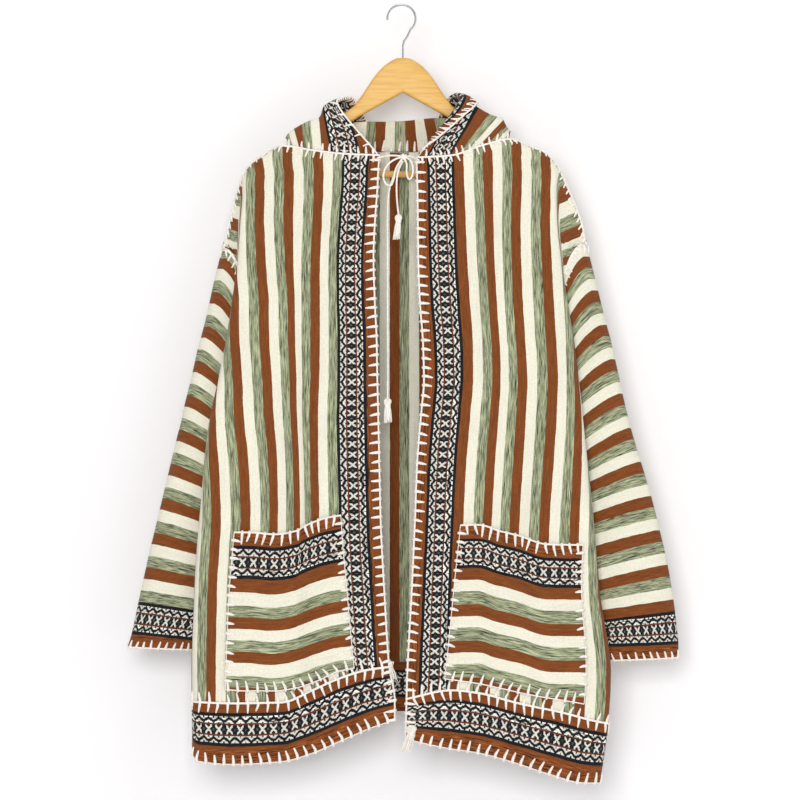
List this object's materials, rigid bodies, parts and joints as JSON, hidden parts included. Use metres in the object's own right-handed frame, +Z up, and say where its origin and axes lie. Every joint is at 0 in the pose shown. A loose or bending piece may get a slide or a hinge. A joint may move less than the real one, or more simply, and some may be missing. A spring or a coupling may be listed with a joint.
{
  "type": "hooded striped poncho jacket on a wooden hanger",
  "caption": "Open-front hooded jacket of heavy striped wool with patterned borders, long sleeves, patch pockets and a tied neck, hanging flat on a hanger.",
  "frame": {"origin": "top of the inside of the hanger's hook, where a rail bears", "axes": "+Z up, the garment's front faces -Y, the wearer's right side lies at -X"},
  "size_m": [0.721, 0.1527, 1.0151],
  "materials": {
    "striped_wool": "woven and lightly felted, rust, cream and sage green stripes",
    "patterned_wool": "woven border in rust, black and cream",
    "white_yarn": "soft twisted yarn",
    "pale_wood": "clear satin lacquer",
    "chrome_wire": "bright chrome plate"
  },
  "bodies": {
    "root": {"back_panel": "striped_wool", "front_panel_left": "striped_wool", "front_panel_right": "striped_wool", "sleeve_left": "striped_wool", "sleeve_right": "striped_wool", "pocket_left": "striped_wool", "pocket_right": "striped_wool", "hood": "striped_wool", "hem_strip_back": "patterned_wool", "hem_strip_left": "patterned_wool", "hem_strip_right": "patterned_wool", "tie_bow": "white_yarn", "tie_end_long": "white_yarn", "tie_end_short": "white_yarn", "tassel_long": "white_yarn", "tassel_short": "white_yarn", "tassel_corner": "white_yarn", "hanger_arms": "pale_wood", "hanger_bar": "pale_wood", "hanger_hook": "chrome_wire"}
  },
  "joints": []
}
